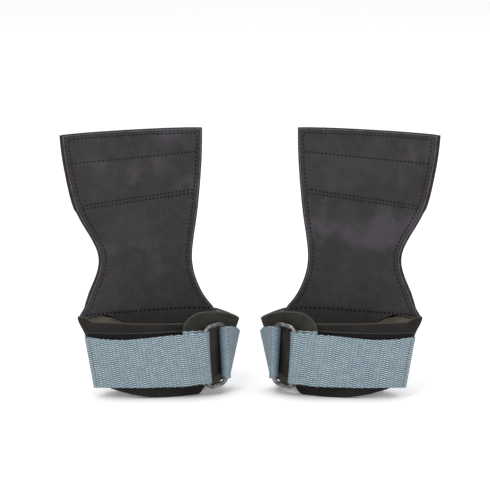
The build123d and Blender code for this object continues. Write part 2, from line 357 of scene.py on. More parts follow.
def tab_edges(t):
    """Lower and upper edge of the tab, which stands highest just before the ring."""
    length = sum(TAB_LENGTHS)
    run = t * length
    top = curve([(0, 65.6), (18, 65.6), (28, 63.8), (44, 57.8), (52, 55.4), (60, 57.6), (68, 61.0)], run)
    low = curve([(0, 9.0), (20, 9.2), (32, 12.6), (44, 10.5), (55, 5.5), (68, 2.0)], run)
    return low + corner(run, 8.0), top - corner(run, 13.5)


def band_piece(name, side, place, edges, length, layer, material, rim, step=1.0, puff=0.0, free=(True, True)):
    """Padded or thin layer of the wall between two offsets.

    Its thickness is a quarter circle over the rim at every free edge. The outer face swells by puff
    (1 - s^4) between its lower and upper edges, with s from -1 to 1."""
    t = spaced(length, step, rim) / length
    low, high = edges(t)
    s = spaced(1.0, 0.9 / 50, rim / 50)
    z = low[:, None] + (high - low)[:, None] * s[None]
    t = np.broadcast_to(t[:, None], z.shape)
    reach = np.minimum(z - low[:, None], high[:, None] - z)
    if free[0]:
        reach = np.minimum(reach, t * length)
    if free[1]:
        reach = np.minimum(reach, (1 - t) * length)
    share = rounded(reach, rim)
    inner, outer = layer
    middle, half = (inner + outer) / 2, (outer - inner) / 2
    swell = puff * (1 - (2 * s[None] - 1) ** 4) * share
    faces = []
    for way, more in ((1, swell), (-1, -0.3 * swell)):
        u, w = place(t, z, middle + way * half * share + more)
        faces.append(np.stack([u, w, z], -1))
    cloth = np.stack([t * length, z], -1) * 0.1
    return two_sided(name, side, faces[0], faces[1], material, cloth, {"edge": reach, "height": s + 0 * z})


# ---- the flap


def flap_w(u, z):
    """Palm side of the flap: it leaves the far wall's arc and flattens into a shallow trough higher up."""
    t = np.clip((z - 60.0) / 142.0, 0, 1)
    trough = 16.5 - 2.5 * t - (1 / 121 * (1 - t) + 1 / 320 * t) * (u + 4 + 8 * t) ** 2 / 2
    wall = 14.3 - (u + 0.5) ** 2 / 232
    share = smooth((z - 59.0) / 20.0)
    ripple = 0.35 * np.sin(u / 17 + 0.6) * np.sin(z / 23 + 1.1) * smooth((z - 70) / 20)
    return wall * (1 - share) + trough * share + ripple


def flap_point(u, z, depth):
    """Place and backward normal at a depth behind the palm side."""
    d = 0.5
    slope_u = (flap_w(u + d, z) - flap_w(u - d, z)) / (2 * d)
    slope_z = (flap_w(u, z + d) - flap_w(u, z - d)) / (2 * d)
    normal = np.stack([-slope_u, np.ones_like(slope_u), -slope_z], -1)
    normal /= np.linalg.norm(normal, axis=-1, keepdims=True)
    base = np.stack([u, flap_w(u, z), z], -1)
    return base + normal * np.asarray(depth)[..., None], normal


def flap_sides(z):
    return curve(THUMB_SIDE, z), curve(FINGER_SIDE, z)


def side_slopes(z):
    """How much longer a sloping edge's normal distance is made when measured along u."""
    thumb0, finger0 = flap_sides(z - 0.5)
    thumb1, finger1 = flap_sides(z + 0.5)
    return np.sqrt(1 + (thumb1 - thumb0) ** 2), np.sqrt(1 + (finger1 - finger0) ** 2)


def top_edge(f):
    """Height of the flap's top edge at a share of its width, with both corners a little lower."""
    return 202.5 + 0.2 * f - 0.4 * (2 * f - 1) ** 8


def seam_distance(u, z, from_side, from_top):
    """Distance to the nearest row of stitches in the palm side."""
    inward = np.where(u < -15, SEAM_IN[0], SEAM_IN[1])
    outside = 50.0 * (from_side < inward - 0.5)
    rows = [
        np.abs(from_side - inward) + 50 * (from_top < TOP_SEAM_IN - 0.5) + 50 * (z < curve(BASE_SEAM, u)),
        np.abs(from_top - TOP_SEAM_IN) + outside,
        np.abs(z - curve(SINGLE_ROW, u)) + outside,
        np.abs(z - curve(DOUBLE_ROW, u) - DOUBLE_APART) + outside,
        np.abs(z - curve(DOUBLE_ROW, u) + DOUBLE_APART) + outside,
        np.abs(z - curve(BASE_SEAM, u)) + outside,
    ]
    return np.minimum.reduce(rows)


def flap_sheet(name, side, ends, depth_of, margin, rims, material, free, seams=True, tuck=0.0):
    """One leather of the flap between two heights.

    Its grid runs from the thumb side to the finger side, and between two end lines. Both faces meet at the
    cut edge, which rounds over the front and back rims in quarter circles."""
    front_rim, back_rim = rims
    f = spaced(95.0, 1.0, front_rim) / 95.0
    low, high = ends[0](f), ends[1](f)
    rows = spaced(1.0, 1.0 / 90, front_rim / 92)
    z = low[None] + (high - low)[None] * rows[:, None]
    f = np.broadcast_to(f[None], z.shape)
    thumb, finger = flap_sides(z)
    draw_in = tuck * smooth((74.0 - z) / 12.0) - margin
    thumb, finger = thumb + draw_in, finger - draw_in
    u = thumb + f * (finger - thumb)
    thumb_slope, finger_slope = side_slopes(z)
    from_side = np.minimum((u - thumb) / thumb_slope, (finger - u) / finger_slope)
    from_top = high[None] - z if free[1] else np.full(z.shape, 99.0)
    from_low = z - low[None] if free[0] else np.full(z.shape, 99.0)
    reach = np.minimum(np.minimum(from_side, from_top), from_low)
    start, thick = depth_of(u, z)
    cut = start + thick * 0.55
    front = start + (cut - start) * (1 - rounded(reach, front_rim))
    back = start + thick - (start + thick - cut) * (1 - rounded(reach, back_rim))
    above = top_edge(f) - z
    seam = seam_distance(u, z, from_side, above) if seams else np.full(z.shape, 9.0)
    front = front + 0.28 * np.exp(-((seam / 0.75) ** 2)) * smooth((reach - 1.0) / 1.5)
    faces = [flap_point(u, z, depth)[0] for depth in (front, back)]
    layers = {"edge": reach, "seam": seam}
    cloth = np.stack([u, z], -1) * 0.1
    return two_sided(name, side, faces[0], faces[1], material, cloth, layers)


def face_depth(u, z):
    return np.zeros_like(z), np.full(z.shape, FACE_THICK)


def backing_depth(u, z):
    """The backing steps over the insert, and flares over the cuff's wall."""
    over_insert = INSERT_THICK * smooth((z - curve(DOUBLE_ROW, u) + 4.5) / 3.5)
    over_wall = 5.0 * smooth((66.0 - z) / 8.0)
    return FACE_THICK + 0.05 + over_insert + over_wall, np.full(z.shape, BACKING_THICK)


def insert_depth(u, z):
    return np.full(z.shape, FACE_THICK + 0.03), np.full(z.shape, INSERT_THICK - 0.05)


def level(z):
    return lambda f: np.full(np.shape(f), z)


def face_foot(f):
    """Lower end of the palm leather: inside the cuff, and stepping up in an S curve towards the thumb side."""
    return 48.5 + 12.7 * (1 - smooth((f - 0.21) / 0.17))


def backing_foot(f):
    """Lower end of the backing, outside the cuff's wall; at the thumb side it stops above the wall's edge."""
    return 48.0 + 14.8 * smooth((0.24 - f) / 0.14)


def insert_foot(f):
    return curve(DOUBLE_ROW, -64 + 98 * f) - 3.5


# ---- webbing


def trail(arcs, count):
    """Evenly spaced points along plan arcs joined end to end, with the joins softened by repeated averaging."""
    points = []
    for cu, cw, radius, start, end in arcs:
        angle = np.linspace(start, end, 80)
        points.append(np.stack([cu + radius * np.cos(angle), cw + radius * np.sin(angle)], -1))
    points = along(np.concatenate(points), 0.2, ends=0.0)
    for _ in range(14):
        points[1:-1] = (points[:-2] + 2 * points[1:-1] + points[2:]) / 4
    run = run_along(points)
    at = np.linspace(0, run[-1], count)
    return np.stack([np.interp(at, run, points[:, k]) for k in (0, 1)], -1), run[-1]


def wires():
    """Plan places of the ring's two upright wires at the webbing's lower and upper edge."""

    def draft_arc(z):
        return bulging(TAB_MIDDLE, 36.0 + 0.215 * z, TAB_BULGE, -1)

    def on_tab(tab, angle):
        reach = tab[2] + WIRE_IN
        return np.array([tab[0] + reach * np.cos(angle), tab[1] + reach * np.sin(angle)])

    ends = []
    for z, along_tab in ((WEB_LOW, RING_LEFT_LOW), (WEB_HIGH, RING_LEFT_HIGH)):
        tab = draft_arc(z)
        ends.append(on_tab(tab, turn_at(tab, along_tab)))
    middle = (ends[0] + ends[1]) / 2
    tab = draft_arc((WEB_LOW + WEB_HIGH) / 2)
    across = 2 * math.asin(RING_WIDTH / 2 / (tab[2] + WIRE_IN))
    step = on_tab(tab, turn_to(tab, *middle) + across) - middle
    return [(end, end + step) for end in ends]


def strap_arcs(z, wire):
    """Free end on the loop pile, over the tab, round the left wire and back under."""
    left, _, _, near, tab = plan_arcs(z)
    at_wire = turn_to(tab, *wire[0])
    free_end = turn_to(near, -left - 8.0 - 2.6 * (49.0 - z) / 38.0, -6.0)
    return [
        (near[0], near[1], near[2] + STRAP_MID, free_end, turn_at(near, -8.0)),
        (tab[0], tab[1], tab[2] + OVER_MID, turn_at(tab, 10.5), at_wire - 0.157),
        (wire[0][0], wire[0][1], LOOP_RADIUS, at_wire - LOOP_LEAD, at_wire + np.pi),
        (tab[0], tab[1], tab[2] + UNDER_IN + WEB_THICK / 2, at_wire - 0.105, turn_at(tab, 10.0)),
    ]


def keeper_arcs(z, wire):
    """Along the far wall, round the right crease, under the ring's right wire, round it and back to the crease."""
    _, right, far, _, tab = plan_arcs(z)
    under = UNDER_IN + WEB_THICK / 2
    at_wire = turn_to(tab, *wire[1])
    meets, leaves = turn_to(tab, right, 0), turn_to(far, right, 0)
    return [
        (far[0], far[1], far[2] + under, turn_to(far, -22.0, 14.5), leaves),
        (right, 0, under, leaves, meets - 2 * np.pi),
        (tab[0], tab[1], tab[2] + under, meets, at_wire + 0.105),
        (wire[1][0], wire[1][1], LOOP_RADIUS, at_wire - np.pi, at_wire + LOOP_LEAD),
        (tab[0], tab[1], tab[2] + OVER_MID, at_wire + 0.157, meets),
        (right, 0, OVER_MID, meets, meets + 0.5),
    ]


class Webbing:
    """A strip of webbing along a trail in plan, leaning between its lower and upper edge."""

    def __init__(self, arcs_at):
        self.count = 400
        places = [arcs_at(z, wire) for z, wire in zip((WEB_LOW, WEB_HIGH), wires())]
        (self.low, low_length), (self.high, high_length) = (trail(arcs, self.count) for arcs in places)
        self.length = (low_length + high_length) / 2

    def fold(self, way):
        """Distance along the strip of its fold: furthest along u (way 1), or least in the strip's last half."""
        places = (self.low[:, 0] + self.high[:, 0]) / 2 * way
        places[: self.count // 2] -= 200.0 * (way < 0)
        return float(np.argmax(places)) / (self.count - 1) * self.length

    def point(self, run, z, offset):
        """Place at a distance along the strip and a height, moved square to the strip in plan."""
        index = np.clip(run / self.length, 0, 1) * (self.count - 1)
        share = (z - WEB_LOW) / (WEB_HIGH - WEB_LOW)

        def at(index):
            k = np.arange(self.count)
            ends = [[np.interp(index, k, edge[:, c]) for edge in (self.low, self.high)] for c in (0, 1)]
            return [low + share * (high - low) for low, high in ends]

        (u, w), (u1, w1), (u0, w0) = at(index), at(index + 1), at(index - 1)
        size = np.hypot(u1 - u0, w1 - w0)
        normal = np.stack([(w1 - w0) / size, -(u1 - u0) / size, np.zeros_like(size)], -1)
        return np.stack([u, w, z + 0 * u], -1) + normal * np.asarray(offset)[..., None], normal


def weave(run, up):
    """Relief of heavy webbing, from 0 to 1: floats set like a chequerboard.

    Half, plus half the sine of the run over one column times the sine of the height over half a row, where
    the rows drift up and down."""
    drift = DRIFT * np.sin(run * 2 * np.pi / DRIFT_RUN)
    return 0.5 + 0.5 * np.sin(np.pi * run / COLUMN) * np.sin(2 * np.pi * (up + drift) / ROW)


def webbing_piece(name, side, strip, edges, material, fold, shade):
    """Strip with a woven outer face and half-round edges, which step in and out with each pair of rows."""
    run = spaced(strip.length, 0.5, 0.5)
    rows = spaced(1.0, 0.4 / 39, 0.5 / 39)
    low, high = edges(run)
    low = low + 0.14 * np.sin(run * 2 * np.pi / 2.9) * (run > 1)
    high = high + 0.14 * np.sin(run * 2 * np.pi / 2.9 + 2) * (run > 1)
    z = low[:, None] + (high - low)[:, None] * rows[None]
    run = np.broadcast_to(run[:, None], z.shape)
    end = np.minimum(run, strip.length - run)
    reach = np.minimum(np.minimum(z - low[:, None], high[:, None] - z), end)
    half = WEB_THICK / 2 * rounded(reach, 0.55)
    plain = np.abs(run - fold)
    relief = 0.24 * (weave(run, z - low[:, None]) - 0.6) * smooth(reach / 0.8)
    front, back = strip.point(run, z, half + relief)[0], strip.point(run, z, -half)[0]
    cloth = np.stack([run, z - low[:, None]], -1) * 0.1
    # The layer "shade" gives how strongly painted shade darkens the strip next to its fold.
    layers = {"plain": plain, "shade": shade * (1 - smooth((plain - 1.5) / 3.5))}
    return two_sided(name, side, front, back, material, cloth, layers)


# ---- materials


def tone(red, green, blue):
    """Display colour, 0 to 255, as linear light."""
    share = np.array([red, green, blue]) / 255.0
    linear = np.where(share <= 0.04045, share / 12.92, ((share + 0.055) / 1.055) ** 2.4)
    return (*linear.tolist(), 1.0)


def shaded(colour, share):
    return (*(share * c for c in colour[:3]), 1.0)


class Finish:
    """A material and short ways to add nodes to it. put() takes a socket or a plain value."""

    def __init__(self, name, roughness, **values):
        self.material = bpy.data.materials.new(name)
        self.material.use_nodes = True
        self.tree = self.material.node_tree
        self.shader = self.tree.nodes["Principled BSDF"]
        self.shader.inputs["Roughness"].default_value = roughness
        for socket, value in values.items():
            self.shader.inputs[socket.replace("_", " ")].default_value = value
        self.object_place = self.add("ShaderNodeTexCoord").outputs["Object"]

    def add(self, kind, **settings):
        made = self.tree.nodes.new(kind)
        for key, value in settings.items():
            setattr(made, key, value)
        return made

    def put(self, socket, value):
        if isinstance(value, bpy.types.NodeSocket):
            self.tree.links.new(value, socket)
        else:
            socket.default_value = value

    def math(self, operation, a, b=0.0, c=0.0):
        made = self.add("ShaderNodeMath", operation=operation)
        for socket, value in zip(made.inputs, (a, b, c)):
            self.put(socket, value)
        return made.outputs[0]

    def layer(self, name):
        return self.add("ShaderNodeAttribute", attribute_name=name).outputs["Fac"]

    def span(self, value, low, high, out_low=0.0, out_high=1.0):
        made = self.add("ShaderNodeMapRange", interpolation_type="SMOOTHSTEP")
        for socket, number in zip(made.inputs, (value, low, high, out_low, out_high)):
            self.put(socket, number)
        return made.outputs[0]

    def noise(self, scale, detail=3.0, roughness=0.5, place=None, distortion=0.0):
        made = self.add("ShaderNodeTexNoise")
        self.put(made.inputs["Vector"], self.object_place if place is None else place)
        values = {"Scale": scale, "Detail": detail, "Roughness": roughness, "Distortion": distortion}
        for socket, value in values.items():
            made.inputs[socket].default_value = value
        return made.outputs["Fac"]

    def cells(self, scale, feature="F1", place=None):
        made = self.add("ShaderNodeTexVoronoi", feature=feature)
        self.put(made.inputs["Vector"], self.object_place if place is None else place)
        made.inputs["Scale"].default_value = scale
        return made.outputs["Distance"]

    def blend(self, share, a, b):
        made = self.add("ShaderNodeMix", data_type="RGBA")
        for socket, value in zip((0, 6, 7), (share, a, b)):
            self.put(made.inputs[socket], value)
        return made.outputs[2]

    def bump(self, height, distance, strength=1.0, after=None):
        made = self.add("ShaderNodeBump")
        self.put(made.inputs["Height"], height)
        made.inputs["Distance"].default_value = distance
        made.inputs["Strength"].default_value = strength
        if after is not None:
            self.put(made.inputs["Normal"], after)
        return made.outputs["Normal"]

    def show(self, colour, normal=None, roughness=None):
        for name, value in (("Base Color", colour), ("Normal", normal), ("Roughness", roughness)):
            if value is not None:
                self.put(self.shader.inputs[name], value)
        return self.material


def nubuck(name, base, light, dark, highlight_colour, near_black):
    """Brushed leather: cloudy colour, fine nap, faint creases, a near-black cut edge with a painted highlight along
    its bevel, painted shade in a pressed line inside it and faint painted shade along the stitches.
    """
    f = Finish(name, 0.78, Sheen_Weight=0.08, Sheen_Roughness=0.5, Specular_IOR_Level=0.3)
    clouds = f.noise(30.0, 4.0, 0.6)
    mottle = f.noise(160.0, 3.0, 0.6)
    nap = f.noise(1900.0, 2.0, 0.6)
    colour = f.blend(f.span(clouds, 0.40, 0.66), dark, base)
    colour = f.blend(f.span(f.noise(21.0, 4.0, 0.6), 0.5, 0.66, 0.0, 0.8), colour, light)
    colour = f.blend(f.span(mottle, 0.35, 0.75, 0.0, 0.35), colour, dark)
    colour = f.blend(f.span(nap, 0.3, 0.7, 0.0, 0.22), colour, light)
    edge, seam = f.layer("edge"), f.layer("seam")
    # Painted shade: a dark line as of a pressed groove, 1.4 to 2.9 mm inside the edge.
    groove_shade = f.math("SUBTRACT", f.span(edge, 1.4, 1.9), f.span(edge, 2.1, 2.9))
    colour = f.blend(f.math("MULTIPLY", groove_shade, 0.5), colour, near_black)
    # Painted highlight: a pale line along the bevel of the cut edge, broken up by the mottle.
    bevel_highlight = f.math("SUBTRACT", f.span(edge, 0.8, 1.1), f.span(edge, 1.3, 1.8))
    colour = f.blend(f.math("MULTIPLY", bevel_highlight, f.span(mottle, 0.3, 0.6, 0.35, 1.0)), colour, highlight_colour)
    # The cut edge itself, less than 0.8 mm in, turns near black.
    colour = f.blend(f.span(edge, 0.8, 0.4), colour, near_black)
    # Painted shade: a faint darkening along the pressed stitch lines.
    colour = f.blend(f.span(seam, 0.9, 0.3, 0.0, 0.12), colour, near_black)
    creases = f.cells(420.0, "DISTANCE_TO_EDGE")
    height = f.math("ADD", f.math("MULTIPLY", nap, 0.5), f.math("MULTIPLY", f.span(creases, 0.0, 0.12), 0.5))
    normal = f.bump(height, 0.00009, 0.7, f.bump(mottle, 0.0004, 0.35))
    return f.show(colour, normal, f.span(mottle, 0.3, 0.7, 0.88, 0.68))


def split_leather(name, flesh, dye):
    """Undyed leather with a fibrous raw edge, dyed on its faces."""
    f = Finish(name, 0.9, Sheen_Weight=0.04, Specular_IOR_Level=0.25)
    fibres = f.noise(900.0, 4.0, 0.7, distortion=1.5)
    soft = f.noise(90.0, 3.0, 0.6)
    edge = f.layer("edge")
    face = f.blend(f.span(fibres, 0.3, 0.7), dye, shaded(dye, 0.75))
    raw = f.blend(f.span(soft, 0.35, 0.7), flesh, shaded(flesh, 0.6))
    colour = f.blend(f.span(edge, 0.9, 0.4), face, raw)
    return f.show(colour, f.bump(fibres, 0.00025, 0.8))


def band_cloth(name, base, light, line, foot_line):
    """Close-knitted cover over foam: tiny knit dimples, a painted highlight along the top edge and a brown line under
    the foot.
    """
    f = Finish(name, 0.85, Sheen_Weight=0.03, Sheen_Roughness=0.4, Specular_IOR_Level=0.22)
    place = f.add("ShaderNodeUVMap", uv_map="cloth").outputs[0]
    knit = f.cells(9.0, place=place)
    haze = f.noise(60.0, 4.0, 0.6)
    colour = f.blend(f.span(haze, 0.4, 0.7), base, light)
    colour = f.blend(f.span(knit, 0.2, 0.7, 0.0, 0.3), colour, shaded(base, 0.5))
    edge, height = f.layer("edge"), f.layer("height")
    # Painted highlight: the rounded top edge of the band is made paler, as if lit from above.
    top = f.math("MULTIPLY", f.span(edge, 0.9, 0.3), f.span(height, 0.5, 0.9))
    low = f.math("MULTIPLY", f.span(edge, 0.8, 0.2), f.span(height, 0.5, 0.1))
    colour = f.blend(f.math("MULTIPLY", top, 0.85), colour, line)
    colour = f.blend(f.math("MULTIPLY", low, 0.8), colour, foot_line)
    return f.show(colour, f.bump(knit, 0.00025, 0.6, f.bump(haze, 0.0006, 0.4)))


def smooth_leather(name, base, light):
    """Thin lining leather: small pebbled grain, a little shine where it has rubbed."""
    f = Finish(name, 0.55, Specular_IOR_Level=0.4)
    grain = f.cells(700.0, "DISTANCE_TO_EDGE")
    haze = f.noise(70.0, 4.0, 0.6)
    colour = f.blend(f.span(haze, 0.4, 0.68), base, light)
    normal = f.bump(f.span(grain, 0.0, 0.2), 0.0001, 0.6, f.bump(haze, 0.0008, 0.4))
    return f.show(colour, normal, f.span(haze, 0.3, 0.7, 0.62, 0.45))


def pile(name, base, light):
    """Brushed loop fastener: a felt of tiny loops."""
    f = Finish(name, 0.95, Sheen_Weight=0.04, Sheen_Roughness=0.6, Specular_IOR_Level=0.15)
    loops = f.cells(1500.0, "SMOOTH_F1")
    fuzz = f.noise(700.0, 4.0, 0.7)
    colour = f.blend(f.span(fuzz, 0.35, 0.7), base, light)
    edge = f.layer("edge")
    colour = f.blend(f.span(edge, 0.9, 0.3, 0.0, 0.8), colour, tone(62, 59, 56))
    return f.show(colour, f.bump(f.math("ADD", loops, fuzz), 0.0005, 0.8))


def webbing_cloth(name, yarn, light, dark):
    """Heavy webbing, woven as in weave(): pale and dark floats, uneven dye, plainer next to a fold, with painted
    bluish shade along it.
    """
    f = Finish(name, 0.75, Sheen_Weight=0.05, Specular_IOR_Level=0.3)
    place = f.add("ShaderNodeSeparateXYZ")
    f.put(place.inputs[0], f.add("ShaderNodeUVMap", uv_map="cloth").outputs[0])
    run, up = f.math("MULTIPLY", place.outputs[0], 10.0), f.math("MULTIPLY", place.outputs[1], 10.0)
    drift = f.math("MULTIPLY", f.math("SINE", f.math("MULTIPLY", run, 2 * math.pi / DRIFT_RUN)), DRIFT)
    beside = f.math("SINE", f.math("MULTIPLY", run, math.pi / COLUMN))
    upward = f.math("SINE", f.math("MULTIPLY", f.math("ADD", up, drift), 2 * math.pi / ROW))
    height = f.math("MULTIPLY_ADD", f.math("MULTIPLY", beside, upward), 0.5, 0.5)
    patchy = f.noise(170.0, 3.0, 0.6)
    slub = f.noise(260.0, 3.0, 0.6)
    from_fold = f.span(f.layer("plain"), 1.0, 4.0, 0.35, 1.0)
    contrast = f.math("MULTIPLY", f.span(patchy, 0.35, 0.65, 0.6, 1.0), from_fold)
    colour = f.blend(f.math("MULTIPLY", f.span(height, 0.45, 0.12), contrast), yarn, dark)
    colour = f.blend(f.math("MULTIPLY", f.span(height, 0.55, 0.9), contrast), colour, light)
    colour = f.blend(f.span(slub, 0.35, 0.7, 0.0, 0.12), colour, light)
    colour = f.blend(f.span(f.noise(1400.0, 2.0, 0.5), 0.4, 0.8, 0.0, 0.2), colour, dark)
    # Painted shade: a bluish darkening along the fold, carried by the layer "shade".
    colour = f.blend(f.layer("shade"), colour, tone(62, 88, 108))
    return f.show(colour, f.bump(height, 0.00045, 0.9))


def thread(name, base, light):
    """Twisted thread: fine strands of light and dark."""
    f = Finish(name, 0.7, Specular_IOR_Level=0.2)
    strands = f.noise(2500.0, 2.0, 0.6)
    return f.show(f.blend(f.span(strands, 0.35, 0.65), base, light), f.bump(strands, 0.0001, 0.5))


def burnished_wire(name, base, light):
    """Dark nickel-plated wire: drawn lines, small rubs, a soft shine."""
    f = Finish(name, 0.34, Metallic=1.0)
    stretched = f.add("ShaderNodeMapping")
    f.put(stretched.inputs["Vector"], f.object_place)
    stretched.inputs["Scale"].default_value = (1.0, 1.0, 0.08)
    lines = f.noise(2600.0, 2.0, 0.6, place=stretched.outputs[0])
    rubs = f.noise(300.0, 4.0, 0.6)
    colour = f.blend(f.span(rubs, 0.45, 0.7), base, light)
    return f.show(colour, f.bump(lines, 0.00004, 0.5), f.span(rubs, 0.35, 0.7, 0.42, 0.26))


FINISHES = {
    name: finish(name, *(tone(*shade) for shade in shades))
    for name, finish, *shades in (
        # palm_leather: base, light, dark, the painted highlight on the bevel, and near black for the cut edge and the
        # painted shade in the groove and stitch lines
        ("palm_leather", nubuck, (46, 43, 45), (64, 60, 67), (35, 32, 31), (82, 79, 83), (9, 8, 8)),
        ("backing_leather", split_leather, (58, 36, 28), (42, 38, 37)),
        ("insert_leather", split_leather, (52, 40, 35), (52, 46, 44)),
        ("lining_leather", smooth_leather, (76, 73, 62), (100, 95, 82)),
        # cuff_cover and tab_cover: base, light, the painted highlight on the top edge, and the brown line under the
        # foot
        ("cuff_cover", band_cloth, (26, 24, 23), (35, 32, 29), (62, 59, 52), (72, 48, 38)),
        ("tab_cover", band_cloth, (38, 36, 33), (54, 52, 47), (64, 62, 55), (72, 48, 38)),
        ("loop_pile", pile, (14, 13, 13), (24, 22, 22)),
        ("webbing", webbing_cloth, (104, 123, 133), (190, 205, 212), (20, 34, 46)),
        ("hook_tape", pile, (22, 22, 24), (40, 40, 42)),
        ("ring_steel", burnished_wire, (108, 105, 103), (168, 165, 163)),
        ("dark_thread", thread, (9, 8, 8), (22, 20, 20)),
        ("pale_thread", thread, (62, 59, 56), (84, 80, 76)),
        ("tan_thread", thread, (84, 72, 62), (112, 98, 86)),
        ("grey_thread", thread, (104, 116, 124), (160, 170, 176)),
    )
}


# ---- pieces


def at(u, w, z, side):
    return tuple(into_frame((u, w, z), side).tolist())


def finish_piece(nodes=()):
    if nodes:
        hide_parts(*nodes)


def row_on_flap(u, z, pitch, length, radius, **how):
    """Stitches at an even pitch along a line on the palm side."""
    u, z = along(np.stack([u, z], -1), pitch).T
    place, back = flap_point(u, z, np.full(len(u), 0.12))
    return stitch_row(place, -back, length, radius, **how)


def inside_edge(z, way):
    """u of the row of stitches inside the thumb side (way 0) or the finger side (way 1)."""
    return flap_sides(z)[way] + (1 - 2 * way) * SEAM_IN[way] * side_slopes(z)[way]


def build_flap(name, side):
    over_wrist = {"start": at(-10, 14, 65.0, side), "end": at(-10, 14, 82.0, side)}
    tilt = math.tan(math.radians(5.0))
    over_bar = {"start": at(-13 + 8 * tilt, 14, 138.5, side), "end": at(-13 - 8 * tilt, 14, 154.5, side)}
    cuff, palm, bar = f"{name}_cuff", f"{name}_palm", f"{name}_bar"
    parts = [
        ("palm_leather_lower", (face_foot, level(WAIST_Z)), face_depth, 0.0, (1.1, 0.35), "palm_leather",
         (True, False), (cuff, palm), ("heel_face", "palm_face")),
        ("palm_leather_upper", (level(WAIST_Z), top_edge), face_depth, 0.0, (1.1, 0.35), "palm_leather",
         (False, True), (palm, bar), ("bar_face",)),
        ("backing_lower", (backing_foot, level(WAIST_Z)), backing_depth, -0.3, (0.3, 0.5), "backing_leather",
         (True, False), (cuff, palm), ("heel_backing", "palm_backing", "backing_tail")),
        ("backing_upper", (level(WAIST_Z), lambda f: top_edge(f) - 0.6), backing_depth, -0.3, (0.3, 0.5),
         "backing_leather", (False, True), (palm, bar), ("bar_backing",)),
        ("insert", (insert_foot, lambda f: top_edge(f) - 0.8), insert_depth, -0.8, (0.3, 0.3), "insert_leather",
         (True, True), (palm, bar), ("bar_insert",)),
    ]
    for part, ends, depth, margin, rims, slot, free, bodies, nodes in parts:
        seams = slot == "palm_leather"
        piece = flap_sheet(f"{name}_{part}", side, ends, depth, margin, rims, FINISHES[slot], free, seams,
                           tuck=3.2 if part == "backing_lower" else 0.0)
        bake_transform(piece)
        finish_piece([f"{name}_{node}" for node in nodes])

    z_low, z_high = np.linspace(65.0, WAIST_Z, 200), np.linspace(WAIST_Z, 197.4, 200)
    plain = {"pitch": 3.2, "length": 1.8, "radius": 0.48}
    lower = [row_on_flap(inside_edge(z_low, k), z_low, **plain) for k in (0, 1)]
    upper = [row_on_flap(inside_edge(z_high, k), z_high, **plain) for k in (0, 1)]
    u_top = np.linspace(inside_edge(198.5, 0), inside_edge(198.5, 1), 200)
    f_top = (u_top - u_top[0]) / (u_top[-1] - u_top[0])
    upper.append(row_on_flap(u_top, top_edge(f_top) - TOP_SEAM_IN, **plain))
    u_single = np.linspace(-67.4, inside_edge(184.0, 1), 200)
    upper.append(row_on_flap(u_single, curve(SINGLE_ROW, u_single), pitch=3.1, length=1.7, radius=0.5))
    u_double = np.linspace(-58.8, inside_edge(153.0, 1), 200)
    for way in (-1, 1):
        z_double = curve(DOUBLE_ROW, u_double) + way * DOUBLE_APART
        upper.append(row_on_flap(u_double, z_double, pitch=3.0, length=1.7, radius=0.5, twist=way * 0.35))
    u_base = np.linspace(-59.5, 41.5, 300)
    z_base = curve(BASE_SEAM, u_base)
    base = row_on_flap(u_base, z_base, 3.5, 2.7, 0.72, twist=0.5)
    pale = row_on_flap(u_base + 1.2, z_base - 0.2, 3.5, 1.3, 0.16, twist=-0.5)
    for part, rows, finish, bodies, span in (
        ("stitches_lower", lower, "dark_thread", (cuff, palm), over_wrist),
        ("stitches_upper", upper, "dark_thread", (palm, bar), over_bar),
        ("base_seam", [base], "dark_thread", (cuff,), None),
        ("base_thread", [pale], "pale_thread", (cuff,), None),
    ):
        piece = thread_piece(f"{name}_{part}", side, rows, FINISHES[finish])
        if span:
            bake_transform(piece)
        else:
            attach(piece, cuff)
        finish_piece()


def build_cuff(name, side):
    cuff, tab = f"{name}_cuff", f"{name}_tab"

    def trimmed(edges):
        """The same edges, drawn in by 0.9 mm."""

        def inner(t):
            low, high = edges(t)
            return low + 0.9, high - 0.9

        return inner

    thick, thin = ((BAND_IN, BAND_OUT), 1.7), ((LINING_IN, LINING_OUT), 0.5)
    parts = [
        ("cuff_band", cuff_wall, cuff_edges, thick, "cuff_cover", 0.9, 0.5, ("wrist_padding", "wrist_shell")),
        ("cuff_lining", cuff_wall, trimmed(cuff_edges), thin, "lining_leather", 0.9, 0.0, ("wrist_lining",)),
        ("tab_band", tab_wall, tab_edges, thick, "tab_cover", 0.6, 0.3, ("tab_padding", "tab_shell")),
        ("tab_inner", tab_wall, trimmed(tab_edges), thin, "lining_leather", 0.6, 0.0, ("tab_lining",)),
    ]
    for part, place, edges, (layer, rim), finish, step, puff, nodes in parts:
        on_cuff = place is cuff_wall
        length = sum(CUFF_LENGTHS if on_cuff else TAB_LENGTHS)
        free = (not on_cuff, on_cuff)
        material = FINISHES[finish]
        piece = band_piece(f"{name}_{part}", side, place, edges, length, layer, material, rim, step, puff, free)
        if on_cuff:
            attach(piece, cuff)
        else:
            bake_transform(piece)
        finish_piece([f"{name}_{node}" for node in nodes])

    panel_wall = wall_part(0.545, 0.415)

    def panel_edges(t):
        u, _ = panel_wall(t, 30.0, 6.0)
        draw_in = corner((1 - t) * 84.0, 5.0)
        return np.maximum(11.0, foot(u) + 1.5) + draw_in, 51.9 - draw_in

    panel = band_piece(f"{name}_loop_pile", side, panel_wall, panel_edges, 84.0, (BAND_OUT - 0.1, PANEL_OUT),
                       FINISHES["loop_pile"], 0.7, 0.9, 0.3)
    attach(panel, cuff)
    finish_piece([f"{name}_loop_panel"])


